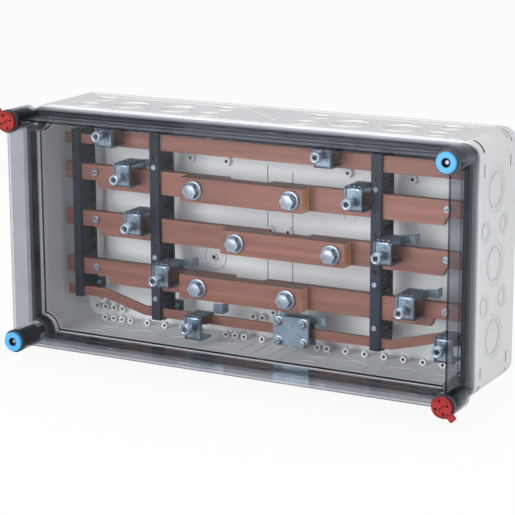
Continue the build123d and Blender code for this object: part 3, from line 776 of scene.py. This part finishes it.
def clamp_looks(name):
    """Beads, mark and painted shade between the beads of one clamp's frame, and the rim, grip rings and
    socket of its screw, with painted shade at the socket's bottom.
    """
    jaw_low, jaw_high = size_of(f"clamp_jaw_{name}")
    head = middle_of(f"clamp_screw_{name}")
    head.y = size_of(f"clamp_screw_{name}")[0].y
    top = jaw_high.z + frame_gap + sheet
    bottom = jaw_low.z - frame_gap - sheet

    def along_top(form, across, depths, profile):
        line = Vector((head.x + across, 0, top))
        form.sweep([(line + forward * depth, x_axis, z_axis) for depth in depths], profile)

    def down_front(form, across, ends, profile):
        line = Vector((head.x + across, -frame_front, 0))
        heights = (bottom + ends[0], top - ends[1])
        form.sweep([(line + z_axis * height, x_axis, forward) for height in heights], profile)

    beads = Form()
    for across in top_beads:
        along_top(beads, across, top_bead_depths, ridge_profile(width=4.6, height=1.3))
    beads.block((head.x - mark_half_width, head.x + mark_half_width), tuple(top - drop for drop in mark_drop),
                frame_front - mark_sunk, frame_front + mark_proud)
    for across in front_beads:
        down_front(beads, across, front_bead_ends, ridge_profile(width=2.0, height=1.1))
    make(f"clamp_beads_{name}", beads, zinc, "base", bevel=0.3)
    # dark zinc strips: painted shade in the troughs between the beads
    scale = Form()
    for across in top_trough_shades:
        along_top(scale, across, top_trough_shade_depths, flat_profile(width=1.8, height=0.12))
    for across in front_trough_shades:
        down_front(scale, across, front_trough_shade_ends, flat_profile(width=0.9, height=0.1))
    make(f"clamp_shade_{name}", scale, clamp_dark, "base")
    rim = Form()
    rim.turned(head, forward, rim_profile, segments=36)
    for k in range(grip_count):
        rim.turned(head - forward * (grip_first + grip_pitch * k), forward, grip_profile, segments=36)
    make(f"screw_rim_{name}", rim, steel, f"screw_{name}")
    # socket: a near-black hexagon of painted shade at its bottom
    socket = Form()
    socket.turned(head - forward * socket_drop, forward, socket_profile, segments=6, start=math.pi / 6)
    make(f"screw_socket_{name}", socket, dark_gap, f"screw_{name}")


for node in cad:
    if node.startswith("clamp_screw_"):
        clamp_looks(node.removeprefix("clamp_screw_"))

# Bar screws: a slot across each head, each turned its own way, as a near-black strip of painted shade
bar_screw_x = (-241.0, 241.0)
bar_screw_turns = ((59.0, 0.5), (-1.5, -0.4), (-64.0, 0.9))
bar_screw_front = size_of("tap_screws")[0].y
bar_slot_half_length = 3.2
slots = Form()
for x in bar_screw_x:
    for z, turn in bar_screw_turns:
        slots.bar(Vector((x, bar_screw_front, z)), turned_by(turn), bar_slot_half_length,
                  flat_profile(width=1.0, height=0.04))
make("bar_screw_slots", slots, dark_gap, "base")

# Supports: ribs across the pockets of their side faces, between the bars
support_rib_z = (84.0, 79.0, 29.0, 24.0, 19.0, -33.0, -38.0, -94.0)
support_rib_depths = (38.5, 55.0)
pocket_depth = 2.4
support_rib = ((-0.8, -0.4), (-0.8, 1.9), (0.8, 1.9), (0.8, -0.4))
for name in ("far_left", "left", "right", "far_right"):
    low, high = size_of(f"keeper_{name}")
    ribs = Form()
    for face_x, direction in ((low.x, -1.0), (high.x, 1.0)):
        for z in support_rib_z:
            pocket = Vector((face_x - direction * pocket_depth, 0, z))
            rails = [(pocket + forward * depth, z_axis, x_axis * direction) for depth in support_rib_depths]
            ribs.sweep(rails, support_rib)
    make(f"support_ribs_{name}", ribs, slate, "base")

# Link bars: the cut ends of their thin copper sheets, in a far brighter copper that is partly bare metal and
# partly a painted highlight. Link bolts: a domed washer rim, and a round chamfer on each hexagon head.
link_depths = ((67.3, 76.7), (77.4, 86.8))
sheets_in_link = 6
sheet_gap = 0.34
sheet_start = 0.12
sheet_proud = 0.36
link_edge = 0.5
link_sunk = 0.2
bolt_x = {"l1": (-87.0, 46.0), "l2": (-29.0, 101.0), "l3": (-82.0, 41.0)}
washer_profile = ((9.4, 2.2), (9.4, 2.9), (10.4, 3.2), (11.6, 3.1), (12.3, 2.6), (12.3, 1.0))
head_profile = ((0.0, 11.2), (6.2, 11.2), (7.3, 10.9), (7.3, 10.6))
washers = Form()
for name, bolts in bolt_x.items():
    low, high = size_of(f"{name}_link_bars")
    link_z = (low.z + high.z) / 2
    half = (high.z - low.z) / 2 - link_edge
    ends = Form()
    for back, front in link_depths:
        pitch = (front - back) / sheets_in_link
        across = pitch - sheet_gap
        for k in range(sheets_in_link):
            depth = back + k * pitch + sheet_start
            rails = [(Vector((high.x - link_sunk, -depth, link_z + side * half)), y_axis, x_axis)
                     for side in (-1.0, 1.0)]
            ends.sweep(rails, ((-across, 0.0), (-across, sheet_proud), (0.0, sheet_proud), (0.0, 0.0)))
    make(f"link_ends_{name}", ends, cut_copper, "base")
    for x in bolts:
        washers.turned(Vector((x, low.y, link_z)), forward, washer_profile, segments=40)
        washers.turned(Vector((x, low.y, link_z)), forward, head_profile, segments=40)
make("bolt_washers", washers, steel, "base")

# Lid fasteners: a thin black collar round each barrel's end, a pin in each open socket with a dark lip round
# it, and raised marks on the sealing caps in a darker red, painted shade along them
collar_profile = ((11.9, 0.02), (14.05, 0.02), (14.05, -5.0), (14.4, -4.6), (14.4, 0.0), (14.1, 0.28),
                  (11.9, 0.28), (11.9, 0.02))
socket_lip_profile = ((5.08, -4.6), (5.08, -0.3), (4.7, -0.8), (4.7, -4.6), (5.08, -4.6))
pin_profile = ((2.6, -1.0), (2.6, 1.6), (2.2, 2.0), (0.0, 2.0))
pin_drop = 6.0
mark_arcs = (35.0, 215.0)
mark_arc_sweep = 110.0
mark_arc_steps = 12
mark_radius = 10.2
mark_height = 0.25
mark_slope = (x_axis * 0.75 + z_axis * 0.66).normalized()
mark_half_length = 5.0
barrel_front = size_of("lid")[0].y


def ring_looks(name, face):
    """Pin and dark lip in the open socket of a fastener with a blue ring."""
    pin = Form()
    pin.turned(face - forward * pin_drop, forward, pin_profile, segments=24)
    make(f"socket_pin_{name}", pin, steel, f"fastener_{name}")
    lip = Form()
    lip.turned(face, forward, socket_lip_profile, segments=40)
    make(f"socket_lip_{name}", lip, bolt_black, f"fastener_{name}")


def cap_looks(name, face):
    """Raised marks of a sealing cap: two arcs near its edge and a bar across its middle, in a darker red that
    is painted shade.
    """
    marks = Form()
    for start in mark_arcs:
        rails = []
        for k in range(mark_arc_steps + 1):
            out = turned_by(math.radians(start + mark_arc_sweep * k / mark_arc_steps))
            rails.append((face + out * mark_radius, out, forward))
        marks.sweep(rails, ridge_profile(width=1.7, height=mark_height))
    marks.bar(face, mark_slope, mark_half_length, ridge_profile(width=2.4, height=mark_height))
    make(f"cap_marks_{name}", marks, cap_shade, f"cap_{name}")


for name in ("top_left", "top_right", "bottom_left", "bottom_right"):
    place = middle_of(f"lid_bolt_{name}")
    place.y = barrel_front
    collar = Form()
    collar.turned(place, forward, collar_profile, segments=48)
    make(f"barrel_collar_{name}", collar, bolt_black, "lid")
    for start, looks in (("bolt_ring_", ring_looks), ("seal_cap_", cap_looks)):
        if start + name in cad:
            place.y = size_of(start + name)[0].y
            looks(name, place)

# Plate clamp: washers of its four screws, and the slots across their heads as near-black strips of painted
# shade
plate_screw_x = 17.0
plate_screw_z = 12.5
plate_washer_profile = ((4.7, 0.02), (6.3, 0.02), (6.3, 0.8), (5.9, 1.1), (4.7, 1.1), (4.7, 0.02))
plate_slot_half_length = 3.6
rising_slot_turn = 0.6
falling_slot_turn = -0.5
plate = middle_of("pe_clamp_plate")
plate.y = size_of("pe_clamp_plate")[0].y
head_front = size_of("pe_clamp_screws")[0].y
plate_washers = Form()
plate_slots = Form()
for side_x in (-1.0, 1.0):
    for side_z in (-1.0, 1.0):
        place = plate + Vector((side_x * plate_screw_x, 0, side_z * plate_screw_z))
        plate_washers.turned(place, forward, plate_washer_profile, segments=28)
        turn = rising_slot_turn if side_x == side_z else falling_slot_turn
        plate_slots.bar(Vector((place.x, head_front, place.z)), turned_by(turn), plate_slot_half_length,
                        flat_profile(width=1.1, height=0.03))
make("plate_washers", plate_washers, steel, "pe_plate")
make("plate_slots", plate_slots, dark_gap, "pe_plate")

# Camera in front of the box, to its right and above it: place in metres, turns in radians
focal_pixels = 1988.15
picture_pixels = 515.0
camera_place = (1.1059918, -2.1539135, 0.5443805)
camera_yaw = 0.4906
camera_pitch = 0.2366
camera_roll = -0.0032
camera_data = bpy.data.cameras.new("camera")
camera_data.sensor_width = 36.0
camera_data.lens = camera_data.sensor_width * focal_pixels / picture_pixels
camera_data.clip_start = 0.1
camera_data.clip_end = 60.0
camera = bpy.data.objects.new("camera", camera_data)
scene.collection.objects.link(camera)
ahead = Vector((-math.sin(camera_yaw) * math.cos(camera_pitch), math.cos(camera_yaw) * math.cos(camera_pitch),
                -math.sin(camera_pitch)))
right = Vector((math.cos(camera_yaw), math.sin(camera_yaw), 0.0))
up = right.cross(ahead)
right_rolled = right * math.cos(camera_roll) + up * math.sin(camera_roll)
up_rolled = up * math.cos(camera_roll) - right * math.sin(camera_roll)
camera_turn = Matrix((right_rolled, up_rolled, -ahead)).transposed()
camera.matrix_world = Matrix.Translation(camera_place) @ camera_turn.to_4x4()
scene.camera = camera

# Studio, in metres: a pale floor that the camera sees as nearly white
floor_height = -0.165
floor_reach = 12.0
camera_glow = 0.92
floor_corners = [(-floor_reach, -floor_reach), (floor_reach, -floor_reach), (floor_reach, floor_reach),
                 (-floor_reach, floor_reach)]
floor_mesh = bpy.data.meshes.new("floor")
floor_mesh.from_pydata([(x, y, floor_height) for x, y in floor_corners], [], [(0, 1, 2, 3)])
floor = bpy.data.objects.new("floor", floor_mesh)
scene.collection.objects.link(floor)
floor_finish, tree, output = material("floor_white")
paper = tree.nodes.new("ShaderNodeBsdfPrincipled")
paper_grain = noise(tree, object_coords(tree), 60.0, 3.0)
paper_stops = ((noise_low, (0.93, 0.93, 0.93)), (noise_high, (0.95, 0.95, 0.95)))
tree.links.new(ramp(tree, paper_grain, paper_stops), paper.inputs["Base Color"])
paper.inputs["Roughness"].default_value = 0.9
glow = tree.nodes.new("ShaderNodeEmission")
glow.inputs["Color"].default_value = (*white, 1.0)
glow.inputs["Strength"].default_value = 1.0
paths = tree.nodes.new("ShaderNodeLightPath")
share = maths(tree, "MULTIPLY", paths.outputs["Is Camera Ray"], camera_glow)
both = mix_shaders(tree, share, paper.outputs["BSDF"], glow.outputs["Emission"])
tree.links.new(both, output.inputs["Surface"])
floor_mesh.materials.append(floor_finish)

# World: a soft cool sky, seen as white by the camera and through clear plastic
sky_colour = (0.93, 0.95, 1.0)
sky_strength = 0.55
world = bpy.data.worlds.new("studio")
scene.world = world
world.use_nodes = True
tree = world.node_tree
tree.nodes.clear()
sky = tree.nodes.new("ShaderNodeBackground")
sky.inputs["Color"].default_value = (*sky_colour, 1.0)
sky.inputs["Strength"].default_value = sky_strength
seen = tree.nodes.new("ShaderNodeBackground")
seen.inputs["Color"].default_value = (*white, 1.0)
seen.inputs["Strength"].default_value = 1.0
paths = tree.nodes.new("ShaderNodeLightPath")
share = maths(tree, "MAXIMUM", paths.outputs["Is Camera Ray"], paths.outputs["Is Transmission Ray"])
both = mix_shaders(tree, share, sky.outputs["Background"], seen.outputs["Background"])
output = tree.nodes.new("ShaderNodeOutputWorld")
tree.links.new(both, output.inputs["Surface"])


def lamp(name, place, target, watts, width, height):
    """Soft rectangular light that points at a target, in metres."""
    data = bpy.data.lights.new(name, "AREA")
    data.shape = "RECTANGLE"
    data.size = width
    data.size_y = height
    data.energy = watts
    made = bpy.data.objects.new(name, data)
    made.location = place
    made.rotation_euler = (Vector(target) - Vector(place)).to_track_quat("-Z", "Y").to_euler()
    scene.collection.objects.link(made)


lamp("key", (-0.6, -3.1, 0.75), target=(0, 0, 0), watts=110.0, width=2.2, height=1.6)
lamp("side", (2.6, -0.8, 0.9), target=(0.2, -0.1, 0), watts=16.0, width=1.4, height=1.4)
lamp("top", (0.2, 0.2, 2.4), target=(0, -0.1, 0), watts=11.0, width=2.0, height=1.2)
